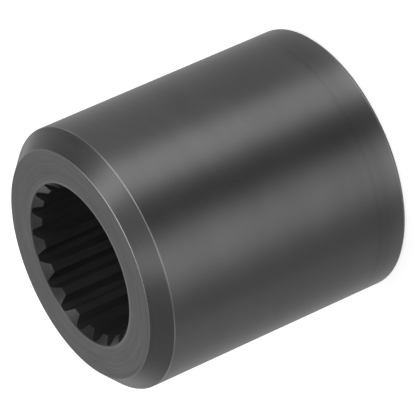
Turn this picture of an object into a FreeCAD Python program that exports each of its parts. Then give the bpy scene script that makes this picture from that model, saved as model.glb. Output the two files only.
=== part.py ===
import FreeCAD, Part
import math
import os
import Sketcher

# A splined sleeve coupling, which joins the splined ends of two shafts.
# It is turned from one bar of steel and its teeth are cut in the same metal, so it is one solid.
# It stands on its rear face: the origin is the centre of that face, and +Z runs up the bore
# to the front face, the one with the wide chamfer round it.

# Driving sizes, in millimetres, apart from the count and the angle.
DRIVING_SIZES = {
    "outer_diameter": 65,
    "sleeve_length": 70,
    "front_chamfer": 4.1,
    "rear_chamfer": 0.8,
    "edge_round": 0.4,
    "tooth_count": 19,
    "tooth_module": 2,
    "pressure_angle": 37.5,
    "tip_height": 0.7,
    "root_depth": 1.05,
    "root_round": 0.4,
    "mouth_step": 0.2,
    "mouth_round": 0.5,
    "cut_overlap": 0.5,
}

# Sizes that follow from the driving ones, as formulas over the sheet.
# The pitch circle halves each tooth and each space, and the tips stand inside it by the tip height.
PITCH_RADIUS = "(sizes.tooth_module * sizes.tooth_count / 2)"
TIP_RADIUS = PITCH_RADIUS + " - sizes.tip_height"
ROOT_RADIUS = PITCH_RADIUS + " + sizes.root_depth"
MOUTH_RADIUS = ROOT_RADIUS + " + sizes.mouth_step"
LEAD_IN = "sizes.tip_height + sizes.root_depth + sizes.mouth_step"

# The numbers that a sketch uses for its origin and X axis, and for the parts of an edge.
AXIS_X = -1
ORIGIN = (-1, 1)
START = 1
END = 2
CENTRE = 3


def make_sheet(doc):
    """Writes the driving sizes into a spreadsheet, one alias to a row."""
    sheet = doc.addObject("Spreadsheet::Sheet", "sizes")
    for row, (alias, value) in enumerate(DRIVING_SIZES.items(), start=1):
        sheet.set(f"A{row}", alias)
        sheet.set(f"B{row}", str(value))
        sheet.setAlias(f"B{row}", alias)
    doc.recompute()
    return sheet


def origin_feature(body, role):
    """Finds one of the body's own origin planes or axes."""
    return next(feature for feature in body.Origin.OriginFeatures if feature.Role == role)


def add_sketch(body, name, plane):
    """Adds a sketch that lies on one of the body's origin planes."""
    sketch = body.newObject("Sketcher::SketchObject", name)
    sketch.AttachmentSupport = [(origin_feature(body, plane), "")]
    sketch.MapMode = "FlatFace"
    return sketch


def add_size(sketch, name, formula, *constraint):
    """Adds a named dimension to a sketch and binds it to a formula over the sheet."""
    index = sketch.addConstraint(Sketcher.Constraint(*constraint))
    sketch.renameConstraint(index, name)
    sketch.setExpression(f"Constraints.{name}", formula)


def round_corner(sketch, name, edge, formula, radius):
    """Rounds the corner at the end of an edge, and keeps the sharp corner as a point to measure to."""
    sketch.fillet(edge, END, radius, True, True)
    arc = sketch.GeometryCount - 2
    add_size(sketch, name, formula, "Radius", arc, radius)


def point(x, y):
    """A point of a flat sketch."""
    return FreeCAD.Vector(x, y, 0)


def polar(radius, angle):
    """A point of a flat sketch, from its distance to the origin and its angle in radians."""
    return point(radius * math.cos(angle), radius * math.sin(angle))


def draw_section(body, sheet):
    """Half of the sleeve's section: the turned outside, the bore at the tooth tips and both lead-ins.

    The edges of the front face, its chamfer and both mouths are rounded, as a polished edge is.
    """
    sketch = add_sketch(body, "section_sketch", "XZ_Plane")
    outer = sheet.outer_diameter / 2
    top = sheet.sleeve_length
    tip = sheet.tooth_module * sheet.tooth_count / 2 - sheet.tip_height
    lead = sheet.tip_height + sheet.root_depth + sheet.mouth_step
    corners = [
        point(tip + lead, 0),
        point(outer - sheet.rear_chamfer, 0),
        point(outer, sheet.rear_chamfer),
        point(outer, top - sheet.front_chamfer),
        point(outer - sheet.front_chamfer, top),
        point(tip + lead, top),
        point(tip, top - lead),
        point(tip, lead),
    ]
    rear_face, rear_edge, outside, front_edge, front_face, front_lead, bore, rear_lead = range(8)
    for corner, following in zip(corners, corners[1:] + corners[:1]):
        sketch.addGeometry(Part.LineSegment(corner, following))
    for edge in range(8):
        sketch.addConstraint(Sketcher.Constraint("Coincident", edge, END, (edge + 1) % 8, START))
    for edge in (rear_face, front_face):
        sketch.addConstraint(Sketcher.Constraint("Horizontal", edge))
    for edge in (outside, bore):
        sketch.addConstraint(Sketcher.Constraint("Vertical", edge))
    sketch.addConstraint(Sketcher.Constraint("PointOnObject", rear_face, START, AXIS_X))

    add_size(sketch, "outer_radius", "sizes.outer_diameter / 2",
             "DistanceX", *ORIGIN, outside, START, outer)
    add_size(sketch, "height", "sizes.sleeve_length",
             "DistanceY", *ORIGIN, front_face, START, top)
    add_size(sketch, "front_chamfer_across", "sizes.front_chamfer",
             "DistanceX", front_edge, END, front_edge, START, sheet.front_chamfer)
    add_size(sketch, "front_chamfer_down", "sizes.front_chamfer",
             "DistanceY", front_edge, START, front_edge, END, sheet.front_chamfer)
    add_size(sketch, "rear_chamfer_across", "sizes.rear_chamfer",
             "DistanceX", rear_edge, START, rear_edge, END, sheet.rear_chamfer)
    add_size(sketch, "rear_chamfer_up", "sizes.rear_chamfer",
             "DistanceY", rear_edge, START, rear_edge, END, sheet.rear_chamfer)
    add_size(sketch, "tip_radius", TIP_RADIUS,
             "DistanceX", *ORIGIN, bore, START, tip)
    add_size(sketch, "front_mouth_radius", MOUTH_RADIUS,
             "DistanceX", *ORIGIN, front_lead, START, tip + lead)
    add_size(sketch, "front_lead_depth", LEAD_IN,
             "DistanceY", front_lead, END, front_lead, START, lead)
    add_size(sketch, "rear_mouth_radius", MOUTH_RADIUS,
             "DistanceX", *ORIGIN, rear_lead, END, tip + lead)
    add_size(sketch, "rear_lead_depth", LEAD_IN,
             "DistanceY", rear_lead, END, rear_lead, START, lead)
    round_corner(sketch, "shoulder_round", outside, "sizes.edge_round", sheet.edge_round)
    round_corner(sketch, "front_face_round", front_edge, "sizes.edge_round", sheet.edge_round)
    round_corner(sketch, "front_mouth_round", front_face, "sizes.mouth_round", sheet.mouth_round)
    round_corner(sketch, "rear_mouth_round", rear_lead, "sizes.mouth_round", sheet.mouth_round)
    return sketch


def turn_blank(body, sketch):
    """Turns the section once round the bore's axis."""
    blank = body.newObject("PartDesign::Revolution", "turned_blank")
    blank.Profile = sketch
    blank.ReferenceAxis = (sketch, ["V_Axis"])
    blank.Angle = 360
    body.Document.recompute()
    return blank


def draw_tooth_space(body, sheet):
    """The space between two teeth, centred on +X.

    Each flank is the arc that follows the involute at the pitch circle: its centre is the point where
    the line of action touches the base circle. The root follows its own circle round the bore's axis,
    and a small arc rounds each corner between it and a flank.
    """
    sketch = add_sketch(body, "tooth_space_sketch", "XY_Plane")
    pressure = math.radians(sheet.pressure_angle)
    half_space = math.radians(90 / sheet.tooth_count)
    pitch_radius = sheet.tooth_module * sheet.tooth_count / 2
    base_radius = pitch_radius * math.cos(pressure)
    flank_radius = pitch_radius * math.sin(pressure)
    root_radius = pitch_radius + sheet.root_depth
    inner_radius = pitch_radius - sheet.tip_height - sheet.cut_overlap

    pitch_point = polar(pitch_radius, half_space)
    flank_centre = polar(base_radius, half_space - pressure)
    mirrored_centre = polar(base_radius, pressure - half_space)
    to_corner = root_radius - sheet.root_round
    flank_to_corner = flank_radius - sheet.root_round
    along = (base_radius ** 2 + to_corner ** 2 - flank_to_corner ** 2) / (2 * base_radius)
    root_turn = half_space - pressure + math.acos(along / to_corner)
    corner = polar(to_corner, root_turn)
    corner_turn = math.atan2(corner.y - flank_centre.y, corner.x - flank_centre.x)
    middle_radius = (base_radius ** 2 + inner_radius ** 2 - flank_radius ** 2) / (2 * base_radius)
    inner_point = polar(inner_radius, half_space - pressure + math.acos(middle_radius / inner_radius))
    inner_turn = math.atan2(inner_point.y - flank_centre.y, inner_point.x - flank_centre.x)

    up = FreeCAD.Vector(0, 0, 1)
    upper_flank = sketch.addGeometry(
        Part.ArcOfCircle(Part.Circle(flank_centre, up, flank_radius), corner_turn, inner_turn))
    upper_corner = sketch.addGeometry(
        Part.ArcOfCircle(Part.Circle(corner, up, sheet.root_round), root_turn, corner_turn))
    root = sketch.addGeometry(
        Part.ArcOfCircle(Part.Circle(point(0, 0), up, root_radius), -root_turn, root_turn))
    lower_corner = sketch.addGeometry(
        Part.ArcOfCircle(Part.Circle(point(corner.x, -corner.y), up, sheet.root_round),
                         -corner_turn, -root_turn))
    lower_flank = sketch.addGeometry(
        Part.ArcOfCircle(Part.Circle(mirrored_centre, up, flank_radius), -inner_turn, -corner_turn))
    closing = sketch.addGeometry(Part.LineSegment(point(inner_point.x, -inner_point.y), inner_point))
    inner_circle = sketch.addGeometry(Part.Circle(point(0, 0), up, inner_radius), True)
    pitch_line = sketch.addGeometry(Part.LineSegment(point(0, 0), pitch_point), True)
    base_line = sketch.addGeometry(Part.LineSegment(point(0, 0), flank_centre), True)

    for centred in (root, inner_circle):
        sketch.addConstraint(Sketcher.Constraint("Coincident", centred, CENTRE, *ORIGIN))
    for spoke in (pitch_line, base_line):
        sketch.addConstraint(Sketcher.Constraint("Coincident", spoke, START, *ORIGIN))
    sketch.addConstraint([
        Sketcher.Constraint("Coincident", upper_flank, CENTRE, base_line, END),
        Sketcher.Constraint("PointOnObject", pitch_line, END, upper_flank),
        Sketcher.Constraint("Symmetric", upper_flank, CENTRE, lower_flank, CENTRE, AXIS_X),
        Sketcher.Constraint("Equal", upper_flank, lower_flank),
        Sketcher.Constraint("Tangent", root, END, upper_corner, START),
        Sketcher.Constraint("Tangent", upper_corner, END, upper_flank, START),
        Sketcher.Constraint("Tangent", root, START, lower_corner, END),
        Sketcher.Constraint("Tangent", lower_corner, START, lower_flank, END),
        Sketcher.Constraint("Equal", upper_corner, lower_corner),
        Sketcher.Constraint("PointOnObject", upper_flank, END, inner_circle),
        Sketcher.Constraint("PointOnObject", lower_flank, START, inner_circle),
        Sketcher.Constraint("Coincident", lower_flank, START, closing, START),
        Sketcher.Constraint("Coincident", upper_flank, END, closing, END),
    ])
    add_size(sketch, "root_radius", ROOT_RADIUS,
             "Radius", root, root_radius)
    add_size(sketch, "root_round", "sizes.root_round",
             "Radius", upper_corner, sheet.root_round)
    add_size(sketch, "inner_radius", TIP_RADIUS + " - sizes.cut_overlap",
             "Radius", inner_circle, inner_radius)
    add_size(sketch, "pitch_radius", PITCH_RADIUS,
             "Distance", pitch_line, pitch_radius)
    add_size(sketch, "half_space", "90 deg / sizes.tooth_count",
             "Angle", pitch_line, half_space)
    add_size(sketch, "base_radius", PITCH_RADIUS + " * cos(sizes.pressure_angle * 1 deg)",
             "Distance", base_line, base_radius)
    add_size(sketch, "pressure_angle", "sizes.pressure_angle * 1 deg",
             "Angle", base_line, START, pitch_line, START, pressure)
    return sketch


def cut_spline(body, sketch):
    """Cuts one space through the whole sleeve and repeats it round the bore."""
    space = body.newObject("PartDesign::Pocket", "tooth_space")
    space.Profile = sketch
    space.Type = "ThroughAll"
    space.Reversed = True
    body.Document.recompute()
    spline = body.newObject("PartDesign::PolarPattern", "internal_spline")
    spline.Originals = [space]
    spline.Axis = (origin_feature(body, "Z_Axis"), [""])
    spline.Angle = 360
    spline.setExpression("Occurrences", "sizes.tooth_count")
    body.Tip = spline
    body.Document.recompute()
    return space, spline


def make_sleeve(doc, sheet):
    """The sleeve: a turned blank, then the spline cut through it."""
    sleeve = doc.addObject("PartDesign::Body", "coupling_sleeve")
    sleeve.Label = "coupling_sleeve"
    blank = turn_blank(sleeve, draw_section(sleeve, sheet))
    space, spline = cut_spline(sleeve, draw_tooth_space(sleeve, sheet))
    first_cut = blank.Shape.Volume - space.Shape.Volume
    all_cuts = blank.Shape.Volume - spline.Shape.Volume
    if first_cut <= 0 or abs(all_cuts / first_cut - sheet.tooth_count) > 0.001:
        raise RuntimeError("the tooth spaces do not all cut the sleeve")
    return sleeve


def check_document(doc, parts):
    """Stops if any object failed to build, or a part has no sound shape."""
    for item in doc.Objects:
        if "Invalid" in item.State or "Error" in item.State:
            raise RuntimeError(f"{item.Name} failed: {item.State}")
        if item.isDerivedFrom("Sketcher::SketchObject") and item.solve() != 0:
            raise RuntimeError(f"{item.Name} has constraints that do not hold")
    for part in parts:
        if part.Shape.isNull() or not part.Shape.isValid() or len(part.Shape.Solids) != 1:
            raise RuntimeError(f"{part.Label} is not one sound solid")


doc = FreeCAD.newDocument("spline_coupling")
sheet = make_sheet(doc)
sleeve = make_sleeve(doc, sheet)
doc.recompute()
check_document(doc, [sleeve])
os.makedirs("parts", exist_ok=True)
sleeve.Shape.exportStep(f"parts/{sleeve.Label}.step")
print(f"{sleeve.Label}: volume {sleeve.Shape.Volume:.1f} mm3, faces {len(sleeve.Shape.Faces)}")
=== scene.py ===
import math

import bmesh
import bpy
from mathutils import Matrix, Vector


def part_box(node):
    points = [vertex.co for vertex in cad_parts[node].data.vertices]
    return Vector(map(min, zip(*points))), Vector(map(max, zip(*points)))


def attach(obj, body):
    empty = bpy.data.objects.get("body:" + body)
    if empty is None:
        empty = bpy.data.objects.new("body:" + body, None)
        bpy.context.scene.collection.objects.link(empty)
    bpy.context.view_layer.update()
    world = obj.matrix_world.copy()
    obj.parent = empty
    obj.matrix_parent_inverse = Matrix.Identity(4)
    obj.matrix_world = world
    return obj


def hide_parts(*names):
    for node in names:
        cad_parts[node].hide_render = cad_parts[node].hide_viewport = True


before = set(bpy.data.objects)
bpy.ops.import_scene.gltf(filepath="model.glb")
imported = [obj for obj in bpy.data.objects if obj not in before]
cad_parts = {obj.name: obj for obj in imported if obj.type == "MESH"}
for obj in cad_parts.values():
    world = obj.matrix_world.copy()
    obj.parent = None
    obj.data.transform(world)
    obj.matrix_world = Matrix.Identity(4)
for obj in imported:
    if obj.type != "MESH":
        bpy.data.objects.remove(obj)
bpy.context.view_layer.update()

# The sleeve, turned blank
# The whole coupling is one sleeve of steel, turned from bar. The lathe leaves the outer wall, a wide
# chamfer round the front end, a narrow one round the rear end, flat end faces and slightly round edges.
# Its shape is drawn in millimetres, and brought to metres when the mesh is finished.
MILLIMETRE = 0.001
sleeve_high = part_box("coupling_sleeve")[1]
OUTER_RADIUS = sleeve_high.x / MILLIMETRE
LENGTH = sleeve_high.z / MILLIMETRE
FRONT_CHAMFER = 4.1
REAR_CHAMFER = 0.8
EDGE_ROUND = 0.4
ROUND_STEPS = 5
# A ring this far from each rounding keeps the wall beside it flat in the shading.
HOLD = 0.15
TOOTH_COUNT = 19
STEPS_PER_TOOTH = 28
MOUTH_RADIUS = 20.25
MOUTH_ROUND = 0.12
# Each mouth opens at 45 degrees, and its edge's rounding meets the flat face at this radius.
MOUTH_FLAT_RADIUS = MOUTH_RADIUS + MOUTH_ROUND * math.tan(math.radians(22.5))
# Points that are this close together count as one.
SAME_PLACE = 0.001

sleeve = bmesh.new()


def rounded(corner, before, after, radius, steps):
    """The points that round a corner of the section, from the line before it to the line after."""
    to_before = (before - corner).normalized()
    to_after = (after - corner).normalized()
    half = to_before.angle(to_after) / 2
    centre = corner + (to_before + to_after).normalized() * radius / math.sin(half)
    start = corner + to_before * radius / math.tan(half) - centre
    turn = start.angle_signed(corner + to_after * radius / math.tan(half) - centre)
    points = []
    for step in range(steps + 1):
        points.append(centre + Matrix.Rotation(-turn * step / steps, 2) @ start)
    return points


def toward(point, other, distance):
    """The point at that distance along the line to another one."""
    return point + (other - point).normalized() * distance


# The half section from the front face to the rear face, as radius and height.
front_inner = Vector((MOUTH_FLAT_RADIUS + HOLD, LENGTH))
front_corner = Vector((OUTER_RADIUS - FRONT_CHAMFER, LENGTH))
shoulder = Vector((OUTER_RADIUS, LENGTH - FRONT_CHAMFER))
rear_shoulder = Vector((OUTER_RADIUS, REAR_CHAMFER))
rear_corner = Vector((OUTER_RADIUS - REAR_CHAMFER, 0.0))
rear_inner = Vector((MOUTH_FLAT_RADIUS + HOLD, 0.0))
front_round = rounded(front_corner, front_inner, shoulder, EDGE_ROUND, ROUND_STEPS)
shoulder_round = rounded(shoulder, front_corner, rear_shoulder, EDGE_ROUND, ROUND_STEPS)
rear_shoulder_round = rounded(rear_shoulder, shoulder, rear_corner, EDGE_ROUND, ROUND_STEPS)
rear_round = rounded(rear_corner, rear_shoulder, rear_inner, EDGE_ROUND, ROUND_STEPS)
section = [toward(front_round[0], front_inner, HOLD), *front_round]
section += [toward(front_round[-1], shoulder, HOLD), toward(shoulder_round[0], front_corner, HOLD)]
section += [*shoulder_round, toward(shoulder_round[-1], rear_shoulder, HOLD)]
section += [toward(rear_shoulder_round[0], shoulder, HOLD), *rear_shoulder_round, *rear_round]
section += [toward(rear_round[-1], rear_inner, HOLD)]

profile = [sleeve.verts.new((radius, 0, height)) for radius, height in section]
for upper, lower in zip(profile, profile[1:]):
    sleeve.edges.new((upper, lower))
bmesh.ops.spin(
    sleeve, geom=list(sleeve.verts) + list(sleeve.edges), axis=(0, 0, 1), cent=(0, 0, 0),
    angle=2 * math.pi, steps=TOOTH_COUNT * STEPS_PER_TOOTH, use_merge=True,
)


def rim(radius, height):
    """The ring of edges that lies at one radius and height."""
    def lies_there(vertex):
        off_radius = abs(vertex.co.to_2d().length - radius)
        return off_radius < SAME_PLACE and abs(vertex.co.z - height) < SAME_PLACE
    return [edge for edge in sleeve.edges if all(lies_there(vertex) for vertex in edge.verts)]


front_rim = rim(*section[0])
rear_rim = rim(*section[-1])

# The internal spline
# Nineteen straight teeth are broached through the bore of the same steel, with flanks at 37.5 degrees and a
# small round in each corner of the root. Their ends lie on a 45 degree lead-in that opens to the end face,
# so that a splined shaft finds its way in.
PITCH_RADIUS = 19.0
TIP_RADIUS = 18.3
ROOT_RADIUS = 20.05
PRESSURE_ANGLE = math.radians(37.5)
HALF_SPACE = math.radians(90 / TOOTH_COUNT)
HALF_PITCH = math.radians(180 / TOOTH_COUNT)
ROOT_ROUND = 0.4
ROOT_STEPS = 2
CORNER_STEPS = 3
FLANK_STEPS = 5
TIP_STEPS = 4
BORE_RINGS = 6

base_radius = PITCH_RADIUS * math.cos(PRESSURE_ANGLE)
flank_radius = PITCH_RADIUS * math.sin(PRESSURE_ANGLE)
flank_centre = Vector((base_radius, 0.0))
flank_centre.rotate(Matrix.Rotation(HALF_SPACE - PRESSURE_ANGLE, 2))
bore_centre = Vector((0.0, 0.0))


def crossing(from_bore, from_flank):
    """The direction, from the bore's centre, of the point at these distances from both centres."""
    cosine = (base_radius ** 2 + from_bore ** 2 - from_flank ** 2) / (2 * base_radius * from_bore)
    return HALF_SPACE - PRESSURE_ANGLE + math.acos(cosine)


def direction(start, end):
    """The angle of the line from one point to another."""
    return math.atan2(end.y - start.y, end.x - start.x)


root_turn = crossing(ROOT_RADIUS - ROOT_ROUND, flank_radius - ROOT_ROUND)
corner_centre = (ROOT_RADIUS - ROOT_ROUND) * Vector((math.cos(root_turn), math.sin(root_turn)))
corner_turn = direction(flank_centre, corner_centre)
tip_turn = crossing(TIP_RADIUS, flank_radius)
tip_corner = TIP_RADIUS * Vector((math.cos(tip_turn), math.sin(tip_turn)))
flank_end = direction(flank_centre, tip_corner)


def arc(centre, radius, start, end, steps):
    """Points along an arc, from one angle to another."""
    points = []
    for step in range(steps + 1):
        angle = start + (end - start) * step / steps
        points.append(centre + radius * Vector((math.cos(angle), math.sin(angle))))
    return points


# Half a tooth space, from the middle of the root to the middle of the tooth's tip.
half_space = arc(bore_centre, ROOT_RADIUS, 0.0, root_turn, ROOT_STEPS)
half_space += arc(corner_centre, ROOT_ROUND, root_turn, corner_turn, CORNER_STEPS)[1:]
half_space += arc(flank_centre, flank_radius, corner_turn, flank_end, FLANK_STEPS)[1:]
half_space += arc(bore_centre, TIP_RADIUS, tip_turn, HALF_PITCH, TIP_STEPS)[1:]

spline = bmesh.new()
outline = [spline.verts.new((point.x, point.y, 0)) for point in half_space]
for first, second in zip(outline, outline[1:]):
    spline.edges.new((first, second))
bmesh.ops.mirror(
    spline, geom=list(spline.verts) + list(spline.edges), axis="Y", merge_dist=SAME_PLACE,
)
bmesh.ops.spin(
    spline, geom=list(spline.verts) + list(spline.edges), axis=(0, 0, 1), cent=(0, 0, 0),
    angle=2 * math.pi, steps=TOOTH_COUNT, use_duplicate=True,
)
bmesh.ops.remove_doubles(spline, verts=list(spline.verts), dist=SAME_PLACE)
spline_mesh = bpy.data.meshes.new("spline_outline")
spline.to_mesh(spline_mesh)
spline.free()
blank_edges = set(sleeve.edges)
sleeve.from_mesh(spline_mesh)
spline_ring = [edge for edge in sleeve.edges if edge not in blank_edges]


def next_ring(ring, place):
    """Extrudes a ring of edges and puts each new vertex where place says."""
    made = bmesh.ops.extrude_edge_only(sleeve, edges=ring)["geom"]
    for vertex in made:
        if isinstance(vertex, bmesh.types.BMVert):
            vertex.co = place(vertex.co)
    return [edge for edge in made if isinstance(edge, bmesh.types.BMEdge) and len(edge.link_faces) == 1]


def on_circle(radius, height):
    """Moves a point out along its own radius to a circle."""
    def place(point):
        flat = point.to_2d().normalized() * radius
        return Vector((flat.x, flat.y, height))
    return place


def lead_in_depth(point):
    """How far in from the end face the lead-in cone passes through this point's radius."""
    return MOUTH_RADIUS - point.to_2d().length


for vertex in {vertex for edge in spline_ring for vertex in edge.verts}:
    vertex.co.z = lead_in_depth(vertex.co)
bore_ring = spline_ring
for step in range(1, BORE_RINGS):
    height = LENGTH * step / BORE_RINGS
    bore_ring = next_ring(bore_ring, lambda point: Vector((point.x, point.y, height)))
bore_ring = next_ring(bore_ring, lambda point: Vector((point.x, point.y, LENGTH - lead_in_depth(point))))
spline_faces = [face for face in sleeve.faces if face.calc_center_median().to_2d().length < ROOT_RADIUS]

# Both mouths: out along the cone, round the edge and onto the end face.
mouth_section = rounded(
    Vector((MOUTH_RADIUS, 0.0)), Vector((TIP_RADIUS, TIP_RADIUS - MOUTH_RADIUS)),
    Vector((OUTER_RADIUS, 0.0)), MOUTH_ROUND, ROUND_STEPS,
)
for ring, face_height, down, face_rim in (
    (bore_ring, LENGTH, 1, front_rim),
    (spline_ring, 0.0, -1, rear_rim),
):
    for radius, height in mouth_section:
        ring = next_ring(ring, on_circle(radius, face_height + down * height))
    ring = next_ring(ring, on_circle(MOUTH_FLAT_RADIUS + HOLD, face_height))
    bmesh.ops.triangle_fill(sleeve, edges=ring + face_rim, use_beauty=True, normal=(0, 0, 1))

for face in sleeve.faces:
    face.smooth = True
for face in spline_faces:
    face.material_index = 1
bmesh.ops.recalc_face_normals(sleeve, faces=list(sleeve.faces))
bmesh.ops.scale(sleeve, vec=(MILLIMETRE, MILLIMETRE, MILLIMETRE), verts=list(sleeve.verts))
turned_mesh = bpy.data.meshes.new("turned_sleeve")
sleeve.to_mesh(turned_mesh)
sleeve.free()
turned_sleeve = bpy.data.objects.new("turned_sleeve", turned_mesh)
bpy.context.scene.collection.objects.link(turned_sleeve)

# A deburring brush takes the burr off every sharp edge of the teeth.
EDGE_BREAK = 0.08 * MILLIMETRE
SHARP_ANGLE = math.radians(25)
edge_break = turned_sleeve.modifiers.new("edge_break", "BEVEL")
edge_break.width = EDGE_BREAK
edge_break.segments = 2
edge_break.limit_method = "ANGLE"
edge_break.angle_limit = SHARP_ANGLE
edge_break.harden_normals = True

# The steel's finish
# The sleeve is blackened: a thin black oxide grown on the bare steel, sealed with a film of oil. The turning
# tool's rings show through it outside, and the broach's straight strokes show in the bore. The oxide is
# rubbed thin along the turned edges and round the mouths. On top of that, the mouths carry a painted
# highlight on the side that faces the camera and a painted shade on their lead-in, and the bore is painted
# lighter further in.


def put(tree, kind, inputs, **settings):
    """Adds a shader node with its settings, and feeds its inputs from sockets or plain values."""
    node = tree.nodes.new("ShaderNode" + kind)
    for name, value in settings.items():
        setattr(node, name, value)
    for key, value in inputs.items():
        if isinstance(value, bpy.types.NodeSocket):
            tree.links.new(value, node.inputs[key])
        else:
            node.inputs[key].default_value = value
    return node


def work_out(tree, operation, *values):
    """A Math node's result, from sockets or plain numbers."""
    return put(tree, "Math", dict(enumerate(values)), operation=operation).outputs[0]


def with_vectors(tree, operation, inputs, output="Vector"):
    """A Vector Math node's result."""
    return put(tree, "VectorMath", inputs, operation=operation).outputs[output]


def times(tree, *values):
    """The product of several values."""
    product = values[0]
    for value in values[1:]:
        product = work_out(tree, "MULTIPLY", product, value)
    return product


def fade(tree, value, start, end):
    """Goes smoothly from 0 to 1 as the value goes from start to end."""
    limits = {"Value": value, "From Min": start, "From Max": end}
    return put(tree, "MapRange", limits, interpolation_type="SMOOTHSTEP").outputs["Result"]


def between(tree, mask, at_none, at_full):
    """A value that runs between two numbers as a mask goes from 0 to 1."""
    return work_out(tree, "MULTIPLY_ADD", mask, at_full - at_none, at_none)


def cloudy(tree, position, per_metre, detail=3.0, roughness=0.6):
    """A cloudy pattern from 0 to 1, with that many clouds to a metre."""
    inputs = {"Vector": position, "Scale": per_metre, "Detail": detail, "Roughness": roughness}
    return put(tree, "TexNoise", inputs).outputs["Fac"]


def height_at(tree, position):
    """A point's height above the rear end."""
    return put(tree, "SeparateXYZ", {0: position}).outputs["Z"]


def out_from_axis(tree, position):
    """The way to a point from the axis, square to it."""
    return with_vectors(tree, "MULTIPLY", {0: position, 1: (1.0, 1.0, 0.0)})


def radius_at(tree, position):
    """A point's distance from the axis."""
    return with_vectors(tree, "LENGTH", {0: out_from_axis(tree, position)}, "Value")


def outward_at(tree, position):
    """The direction in which a point lies from the axis."""
    return with_vectors(tree, "NORMALIZE", {0: out_from_axis(tree, position)})


def on_side(tree, position, side):
    """Goes from -1 to 1 and back round the sleeve, and is 1 on the side at that angle."""
    middle = (math.cos(side), math.sin(side), 0.0)
    return with_vectors(tree, "DOT_PRODUCT", {0: outward_at(tree, position), 1: middle}, "Value")


def start_group(name, inputs, outputs):
    """A node group with these sockets, given as names and kinds."""
    group = bpy.data.node_groups.new(name, "ShaderNodeTree")
    for in_out, sockets in (("INPUT", inputs), ("OUTPUT", outputs)):
        for socket_name, kind in sockets.items():
            group.interface.new_socket(socket_name, in_out=in_out, socket_type="NodeSocket" + kind)
    return group, group.nodes.new("NodeGroupInput").outputs, group.nodes.new("NodeGroupOutput").inputs


# Tool marks: a pattern drawn out along the way that the tool went, told by how many marks there are to a
# metre along the axis and out from it, and by how fast they change round the sleeve.
tool_marks, given, result = start_group(
    "tool_marks", {"Position": "Vector", "Along": "Float", "Out": "Float", "Round": "Float"},
    {"Marks": "Float"},
)
outward = outward_at(tool_marks, given["Position"])
turned = with_vectors(tool_marks, "SCALE", {0: outward, "Scale": given["Round"]})
radius = radius_at(tool_marks, given["Position"])
rise = put(tool_marks, "CombineXYZ", {"Z": times(tool_marks, radius, given["Out"])}).outputs[0]
spread = with_vectors(tool_marks, "ADD", {0: turned, 1: rise})
height = times(tool_marks, height_at(tool_marks, given["Position"]), given["Along"])
marks = put(
    tool_marks, "TexNoise", {"Vector": spread, "W": height, "Scale": 1.0, "Detail": 3.0, "Roughness": 0.6},
    noise_dimensions="4D",
)
tool_marks.links.new(marks.outputs["Fac"], result["Marks"])

# Oxide film and painted shade: slow and fine changes of tone and gloss, as the bath leaves them. Inside the
# given radius, in the mouths, the steel is painted darker, most on one side: a painted shade.
PATCHES_PER_METRE = 60
SPECKS_PER_METRE = 700
SPECK_SHARE = 0.15
PAINTED_SHADE_EDGE = 0.3 * MILLIMETRE
PAINTED_SHADE_DARKENING = 0.32
PAINTED_SHADE_SWING = 0.26
PAINTED_SHADE_SIDE = math.radians(140)
oxide_film_and_shade, given, result = start_group(
    "oxide_film_and_shade", {"Position": "Vector", "Amount": "Float", "Oiled": "Float"},
    {"Tone": "Float", "Gloss": "Float"},
)
patches = cloudy(oxide_film_and_shade, given["Position"], PATCHES_PER_METRE, detail=2.0, roughness=0.5)
specks = cloudy(oxide_film_and_shade, given["Position"], SPECKS_PER_METRE)
both = work_out(oxide_film_and_shade, "MULTIPLY_ADD", specks, SPECK_SHARE, patches)
change = work_out(oxide_film_and_shade, "SUBTRACT", both, (1 + SPECK_SHARE) / 2)
film_tone = work_out(oxide_film_and_shade, "MULTIPLY_ADD", change, given["Amount"], 1.0)
radius = radius_at(oxide_film_and_shade, given["Position"])
in_shade = fade(oxide_film_and_shade, work_out(oxide_film_and_shade, "SUBTRACT", given["Oiled"], radius), -PAINTED_SHADE_EDGE, PAINTED_SHADE_EDGE)
shade_side = on_side(oxide_film_and_shade, given["Position"], PAINTED_SHADE_SIDE)
shade_darkening = work_out(oxide_film_and_shade, "MULTIPLY_ADD", shade_side, -PAINTED_SHADE_SWING, -PAINTED_SHADE_DARKENING)
shade_tone = work_out(oxide_film_and_shade, "MULTIPLY_ADD", in_shade, shade_darkening, 1.0)
oxide_film_and_shade.links.new(times(oxide_film_and_shade, film_tone, shade_tone), result["Tone"])
oxide_film_and_shade.links.new(change, result["Gloss"])

# Edge wear and highlight: how far the oxide is worn through round an edge at the given radius and height.
# Round the mouths the same mask also carries a painted highlight.
SCUFFS_PER_METRE = 500
edge_wear_and_highlight, given, result = start_group(
    "edge_wear_and_highlight", {"Position": "Vector", "Radius": "Float", "Height": "Float", "Reach": "Float"},
    {"WearAndHighlight": "Float"},
)
radius = radius_at(edge_wear_and_highlight, given["Position"])
height = height_at(edge_wear_and_highlight, given["Position"])
aside = put(edge_wear_and_highlight, "CombineXYZ", {
    "X": work_out(edge_wear_and_highlight, "SUBTRACT", radius, given["Radius"]),
    "Y": work_out(edge_wear_and_highlight, "SUBTRACT", height, given["Height"]),
}).outputs[0]
distance = with_vectors(edge_wear_and_highlight, "LENGTH", {0: aside}, "Value")
nearness = work_out(edge_wear_and_highlight, "SUBTRACT", given["Reach"], distance)
full_wear = times(edge_wear_and_highlight, given["Reach"], cloudy(edge_wear_and_highlight, given["Position"], SCUFFS_PER_METRE))
edge_wear_and_highlight.links.new(fade(edge_wear_and_highlight, nearness, 0.0, full_wear), result["WearAndHighlight"])

# Both materials change with the distance from the middle of the sleeve towards its ends.
HALF_LENGTH = LENGTH / 2 * MILLIMETRE


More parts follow.
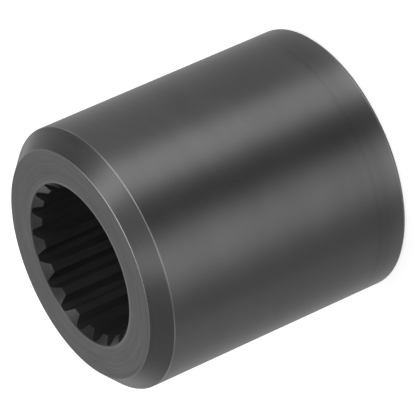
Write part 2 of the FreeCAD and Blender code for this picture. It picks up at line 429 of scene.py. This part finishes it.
def start_steel(name, metallic):
    """A steel material, with its tree, its shader and the place that its patterns are drawn from."""
    steel = bpy.data.materials.new(name)
    steel.use_nodes = True
    shader = steel.node_tree.nodes["Principled BSDF"]
    shader.inputs["Metallic"].default_value = metallic
    position = put(steel.node_tree, "TexCoord", {}).outputs["Object"]
    return steel, steel.node_tree, shader, position


def use_group(tree, group, **inputs):
    """Places a node group in a material with its own values, and returns its outputs."""
    return put(tree, "Group", inputs, node_tree=group).outputs


def about(tree, pattern, middle, swing):
    """A pattern that runs from 0 to 1, turned into a value that swings about a middle."""
    return between(tree, pattern, middle - swing, middle + swing)


def from_middle(tree, height):
    """A height's distance from the middle of the sleeve."""
    return work_out(tree, "ABSOLUTE", work_out(tree, "SUBTRACT", height, HALF_LENGTH))


def finish_surface(tree, shader, tone, roughness, marks, depth):
    """Gives the shader its tone and roughness, and cuts the tool's marks to a depth."""
    tree.links.new(tone, shader.inputs["Base Color"])
    tree.links.new(roughness, shader.inputs["Roughness"])
    bump = put(tree, "Bump", {"Strength": 1.0, "Distance": depth, "Height": marks})
    tree.links.new(bump.outputs["Normal"], shader.inputs["Normal"])


# Outside, the rings are about half a millimetre apart, with broader bands of tone where the feed changed.
# On the end faces, those of the facing cut are wider apart and stand out more.
OXIDE_TONE = 0.133
# Worn oxide takes this tone, and so does the painted highlight round the mouths.
WORN_AND_HIGHLIGHT_TONE = 0.3
TURNED_ROUGHNESS = 0.28
RINGS_PER_METRE = 2200
BANDS_PER_METRE = 120
FACE_RINGS_PER_METRE = 1400
RING_DEPTH = 0.0002 * MILLIMETRE
RING_SWING = 0.014
RING_GLOSS_SWING = 0.012
BAND_SWING = 0.12
FACE_RING_SWING = 0.48
WALL_RING_SWING = 0.08
TURNED_FILM = 0.12
TURNED_GLOSS_SWING = 0.06
# Inside this radius the mouths' lead-in is painted darker: a painted shade.
PAINTED_SHADE_RADIUS = 20.2 * MILLIMETRE
FACE_BEGINS = HALF_LENGTH - 0.6 * MILLIMETRE
FACE_FULL = HALF_LENGTH - 0.1 * MILLIMETRE
turned_steel, tree, shader, position = start_steel("turned_oxide_steel", 1.0)
rings = use_group(
    tree, tool_marks, Position=position, Along=RINGS_PER_METRE, Out=FACE_RINGS_PER_METRE, Round=1.0,
)["Marks"]
wall_bands = use_group(
    tree, tool_marks, Position=position, Along=BANDS_PER_METRE, Out=0, Round=1.2,
)["Marks"]
face_rings = use_group(
    tree, tool_marks, Position=position, Along=0, Out=FACE_RINGS_PER_METRE, Round=1.6,
)["Marks"]
film_and_shade = use_group(tree, oxide_film_and_shade, Position=position, Amount=TURNED_FILM, Oiled=PAINTED_SHADE_RADIUS)
height = height_at(tree, position)
on_end = fade(tree, from_middle(tree, height), FACE_BEGINS, FACE_FULL)
face_swing = between(tree, on_end, WALL_RING_SWING, FACE_RING_SWING)
face_shift = times(tree, about(tree, face_rings, 0.0, 1.0), face_swing)
tone = times(
    tree, film_and_shade["Tone"], about(tree, rings, 1.0, RING_SWING), about(tree, wall_bands, 1.0, BAND_SWING),
    work_out(tree, "MULTIPLY_ADD", face_shift, OXIDE_TONE, OXIDE_TONE),
)

# The wall is lighter towards both ends, and a faint dark line shows where the last cut met
# the grip.
REAR_LIGHTER_REACH = 6 * MILLIMETRE
REAR_LIGHTENING = 0.3
FRONT_LIGHTER_FROM = 15 * MILLIMETRE
FRONT_LIGHTER_TO = 66 * MILLIMETRE
FRONT_LIGHTENING = 0.12
GRIP_LINE = 7.8 * MILLIMETRE
GRIP_LINE_WIDTH = 0.9 * MILLIMETRE
GRIP_LINE_DARKENING = 0.09
off_line = work_out(tree, "ABSOLUTE", work_out(tree, "SUBTRACT", height, GRIP_LINE))
for height_band, change in (
    (fade(tree, height, REAR_LIGHTER_REACH, 0.0), REAR_LIGHTENING),
    (fade(tree, height, FRONT_LIGHTER_FROM, FRONT_LIGHTER_TO), FRONT_LIGHTENING),
    (fade(tree, off_line, GRIP_LINE_WIDTH, 0.0), -GRIP_LINE_DARKENING),
):
    tone = times(tree, tone, between(tree, height_band, 1.0, 1.0 + change))

# The oxide is rubbed along every turned edge and round the mouths. Round the mouths the lighter ring is full
# on the side that faces the camera and gone on the far side: partly wear, partly a painted highlight along
# the mouth's near edge. Each row has an edge's radius and height and how far the rubbing reaches, in
# millimetres, and then the share of the oxide that it takes.
MOUTH_HIGHLIGHT_SIDE = math.radians(-90)
MOUTH_WEAR_AND_HIGHLIGHT = 0.7
MOUTH_WEAR_AND_HIGHLIGHT_RADIUS = MOUTH_FLAT_RADIUS + 0.25
highlight_side = on_side(tree, position, MOUTH_HIGHLIGHT_SIDE)
mouth_wear_and_highlight = work_out(tree, "MULTIPLY_ADD", highlight_side, MOUTH_WEAR_AND_HIGHLIGHT / 2, MOUTH_WEAR_AND_HIGHLIGHT / 2)
wear_and_highlight = 0.0
for edge_radius, edge_height, reach, amount in (
    (OUTER_RADIUS - FRONT_CHAMFER, LENGTH, 0.22, 0.48),
    (OUTER_RADIUS, LENGTH - FRONT_CHAMFER, 0.22, 0.6),
    (MOUTH_WEAR_AND_HIGHLIGHT_RADIUS, LENGTH, 0.4, mouth_wear_and_highlight),
    (OUTER_RADIUS, REAR_CHAMFER, 0.35, 0.5),
    (OUTER_RADIUS - REAR_CHAMFER, 0.0, 0.3, 0.3),
    (MOUTH_WEAR_AND_HIGHLIGHT_RADIUS, 0.0, 0.4, mouth_wear_and_highlight),
):
    rubbed_and_highlit = use_group(
        tree, edge_wear_and_highlight, Position=position, Radius=edge_radius * MILLIMETRE,
        Height=edge_height * MILLIMETRE, Reach=reach * MILLIMETRE,
    )["WearAndHighlight"]
    wear_and_highlight = work_out(tree, "MULTIPLY_ADD", rubbed_and_highlit, amount, wear_and_highlight)
worn_and_highlit_tone = put(tree, "Mix", {"Factor": wear_and_highlight, "A": tone, "B": WORN_AND_HIGHLIGHT_TONE}, data_type="FLOAT").outputs[0]
film_gloss = work_out(tree, "MULTIPLY_ADD", film_and_shade["Gloss"], TURNED_GLOSS_SWING, TURNED_ROUGHNESS)
roughness = work_out(tree, "ADD", film_gloss, about(tree, rings, 0.0, RING_GLOSS_SWING))
finish_surface(tree, shader, worn_and_highlit_tone, roughness, rings, RING_DEPTH)

# In the bore, the strokes run the length of the teeth. Further in from each end the bore is painted
# lighter: painted light, as if light came in through the bore.
BORE_TONE = 0.011
BORE_METALLIC = 0.2
BORE_ROUGHNESS = 0.6
BORE_FILM = 0.7
BORE_GLOSS_SWING = 0.1
STROKE_SWING = 0.5
STROKE_DEPTH = 0.004 * MILLIMETRE
PAINTED_LIGHT_DEPTH = 22 * MILLIMETRE
PAINTED_LIGHT_GAIN = 2.2
broached_steel, tree, shader, position = start_steel("broached_oxide_steel", BORE_METALLIC)
strokes = use_group(tree, tool_marks, Position=position, Along=12, Out=1500, Round=60)["Marks"]
film_and_shade = use_group(tree, oxide_film_and_shade, Position=position, Amount=BORE_FILM)
middle_distance = from_middle(tree, height_at(tree, position))
further_in = fade(tree, middle_distance, HALF_LENGTH, HALF_LENGTH - PAINTED_LIGHT_DEPTH)
tone = times(
    tree, film_and_shade["Tone"], about(tree, strokes, BORE_TONE, STROKE_SWING * BORE_TONE),
    between(tree, further_in, 1.0, 1.0 + PAINTED_LIGHT_GAIN),
)
roughness = work_out(tree, "MULTIPLY_ADD", film_and_shade["Gloss"], BORE_GLOSS_SWING, BORE_ROUGHNESS)
finish_surface(tree, shader, tone, roughness, strokes, STROKE_DEPTH)

turned_mesh.materials.append(turned_steel)
turned_mesh.materials.append(broached_steel)
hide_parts("coupling_sleeve")
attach(turned_sleeve, "root")

# The floor
# A plain white floor, which only takes the sleeve's shadow. It lets reflections and shadow rays pass, so
# that the steel shows the studio round it and not the floor under it.
FLOOR_SIZE = 6.0
FLOOR_TONE = 0.5
FLOOR_LIFT = 0.75
floor_sheet = bmesh.new()
bmesh.ops.create_grid(floor_sheet, x_segments=1, y_segments=1, size=FLOOR_SIZE / 2)
floor_mesh = bpy.data.meshes.new("floor")
floor_sheet.to_mesh(floor_mesh)
floor_sheet.free()
floor = bpy.data.objects.new("floor", floor_mesh)
bpy.context.scene.collection.objects.link(floor)
floor_paint = bpy.data.materials.new("white_floor")
floor_paint.use_nodes = True
tree = floor_paint.node_tree
tree.nodes.clear()
path = put(tree, "LightPath", {}).outputs
lift = times(tree, path["Is Camera Ray"], FLOOR_LIFT)
white = put(tree, "BsdfDiffuse", {"Color": (FLOOR_TONE, FLOOR_TONE, FLOOR_TONE, 1)}).outputs[0]
glow = put(tree, "Emission", {"Strength": lift}).outputs[0]
lit = put(tree, "AddShader", {0: white, 1: glow}).outputs[0]
passing = work_out(tree, "MAXIMUM", path["Is Glossy Ray"], path["Is Shadow Ray"])
clear = put(tree, "BsdfTransparent", {}).outputs[0]
shown = put(tree, "MixShader", {"Fac": passing, 1: lit, 2: clear}).outputs[0]
put(tree, "OutputMaterial", {"Surface": shown})
floor_mesh.materials.append(floor_paint)

# The studio
# A grey room, darker towards the ceiling, with softboxes and dark cards round the sleeve. The wall shows the
# camera what stands 27 degrees below the horizon, so the upright lights reach down past the floor. Directions
# are in degrees: a turn goes round from the camera, and an elevation goes up from the horizon.
CAMERA_AZIMUTH = -89.026
WALL_ELEVATION = -27
ROOM_LOW = 0.5
ROOM_HIGH = 0.304
world = bpy.data.worlds.new("studio")
bpy.context.scene.world = world
world.use_nodes = True
tree = world.node_tree
tree.nodes.clear()
way = put(tree, "TexCoord", {}).outputs["Generated"]
way_along = put(tree, "SeparateXYZ", {0: way}).outputs
azimuth = work_out(tree, "DEGREES", work_out(tree, "ARCTAN2", way_along["Y"], way_along["X"]))
elevation = work_out(tree, "DEGREES", work_out(tree, "ARCSINE", way_along["Z"]))
high = fade(tree, elevation, -20, 40)
low = work_out(tree, "SUBTRACT", 1.0, high)


def upright_light(turn, half_width, softness, lean=0.0):
    """An upright strip, at that turn where the wall shows it, with a lean in degrees per degree up."""
    shift = CAMERA_AZIMUTH + turn - WALL_ELEVATION * lean
    middle = work_out(tree, "MULTIPLY_ADD", elevation, lean, shift)
    turned_by = work_out(tree, "WRAP", work_out(tree, "SUBTRACT", azimuth, middle), 180, -180)
    apart = work_out(tree, "ABSOLUTE", turned_by)
    return fade(tree, apart, half_width + softness, half_width - softness)


def round_light(turn, height, half_width, softness):
    """A round softbox, with its middle at that turn and elevation."""
    turned_to = math.radians(CAMERA_AZIMUTH + turn)
    raised = math.radians(height)
    flat = math.cos(raised)
    middle = (math.cos(turned_to) * flat, math.sin(turned_to) * flat, math.sin(raised))
    cosine = with_vectors(tree, "DOT_PRODUCT", {0: way, 1: middle}, "Value")
    apart = work_out(tree, "DEGREES", work_out(tree, "ARCCOSINE", cosine))
    return fade(tree, apart, half_width + softness, half_width - softness)


def from_to(bottom, full_bottom, full_top, top):
    """Cuts a light off below and above, with a soft edge at each end."""
    return times(tree, fade(tree, elevation, bottom, full_bottom), fade(tree, elevation, top, full_top))


lights = []


def add_light(*shape, strength):
    """Adds a light to the room, drawn by the masks of its shape. A dark card has a strength below 0."""
    lights.append(times(tree, *shape, strength))


# Two softboxes draw the broad light bands along the wall. They are brighter towards the ceiling, where they
# end, and the left one is dimmed round 15 degrees above the horizon.
below_ceiling = fade(tree, elevation, 75, 55)
off_dimming = work_out(tree, "ABSOLUTE", work_out(tree, "SUBTRACT", elevation, 15))
dimming = between(tree, fade(tree, off_dimming, 32, 0), 1.0, 0.4)
right_softbox = upright_light(turn=51.8, half_width=15.6, softness=9.8, lean=0.2)
add_light(right_softbox, below_ceiling, strength=between(tree, high, 0.896, 1.4))
left_softbox = upright_light(turn=-28.5, half_width=17.2, softness=14)
add_light(left_softbox, dimming, below_ceiling, strength=between(tree, high, 0.552, 1.064))

# Dark cards stand between the softboxes, left of them and behind, where one draws the thin dark line down
# each side of the wall.
add_light(upright_light(turn=13.2, half_width=14, softness=10, lean=0.1), low, strength=-0.336)
add_light(upright_light(turn=-73, half_width=12, softness=11), low, strength=-0.16)
rear_card = upright_light(turn=180, half_width=10, softness=8)
add_light(rear_card, fade(tree, elevation, 15, -5), strength=-0.36)

# A softbox overhead picks out the round edges, and a broad one behind lights the end face. Two small ones
# behind, near the horizon, light the chamfer where it turns away.
add_light(round_light(turn=150, height=72, half_width=20, softness=8), strength=2.8)
add_light(round_light(turn=180, height=35, half_width=35, softness=15), strength=0.216)
add_light(round_light(turn=-150, height=3, half_width=14, softness=12), strength=0.16)
add_light(round_light(turn=164, height=-6, half_width=9, softness=9), strength=0.2)

# Three lights round the front, from the horizon up, draw the thin bright line along the shoulder.
front_window = from_to(-6, 4, 36, 48)
add_light(upright_light(turn=35, half_width=9, softness=6), front_window, strength=2.08)
add_light(upright_light(turn=0, half_width=24, softness=8), front_window, strength=0.72)
add_light(round_light(turn=-82, height=6, half_width=12, softness=10), strength=0.8)

# Two low strips behind give the wall its light bands where it is seen from the back.
rear_window = from_to(-20, -10, -6, 6)
add_light(upright_light(turn=-128, half_width=9, softness=8), rear_window, strength=1.0)
add_light(upright_light(turn=118, half_width=8, softness=8), rear_window, strength=0.8)

level = between(tree, high, ROOM_LOW, ROOM_HIGH)
for light in lights:
    level = work_out(tree, "ADD", level, light)
level = work_out(tree, "MAXIMUM", level, 0.0)
seen = put(tree, "LightPath", {}).outputs["Is Camera Ray"]
shown = put(tree, "Mix", {"Factor": seen, "A": level, "B": 1.0}, data_type="FLOAT").outputs[0]
background = put(tree, "Background", {"Color": (1, 1, 1, 1), "Strength": shown}).outputs[0]
put(tree, "OutputWorld", {"Surface": background})

# The camera
# It stands where the photograph was taken from: well back, with a long lens, above the front end and
# rolled so that the sleeve lies across the picture.
CAMERA_ELEVATION = 26.897
CAMERA_ROLL = 113.87
CAMERA_DISTANCE = 1.11557
CAMERA_LENS = 413.43
CAMERA_AIM = Vector((0.00002, -0.00054, 0.03393))
camera_data = bpy.data.cameras.new("camera")
camera_data.lens = CAMERA_LENS
camera_data.sensor_width = 36.0
camera_data.clip_start = 0.05
camera_data.clip_end = 50.0
camera = bpy.data.objects.new("camera", camera_data)
bpy.context.scene.collection.objects.link(camera)
azimuth_turn = math.radians(CAMERA_AZIMUTH)
elevation_turn = math.radians(CAMERA_ELEVATION)
back = Vector((
    math.cos(azimuth_turn) * math.cos(elevation_turn),
    math.sin(azimuth_turn) * math.cos(elevation_turn),
    math.sin(elevation_turn),
))
upright = (-back).to_track_quat("-Z", "Y").to_matrix().to_4x4()
rolled = upright @ Matrix.Rotation(-math.radians(CAMERA_ROLL), 4, "Z")
camera.matrix_world = Matrix.Translation(CAMERA_AIM + back * CAMERA_DISTANCE) @ rolled
bpy.context.scene.camera = camera

bpy.context.scene.view_settings.view_transform = "Standard"
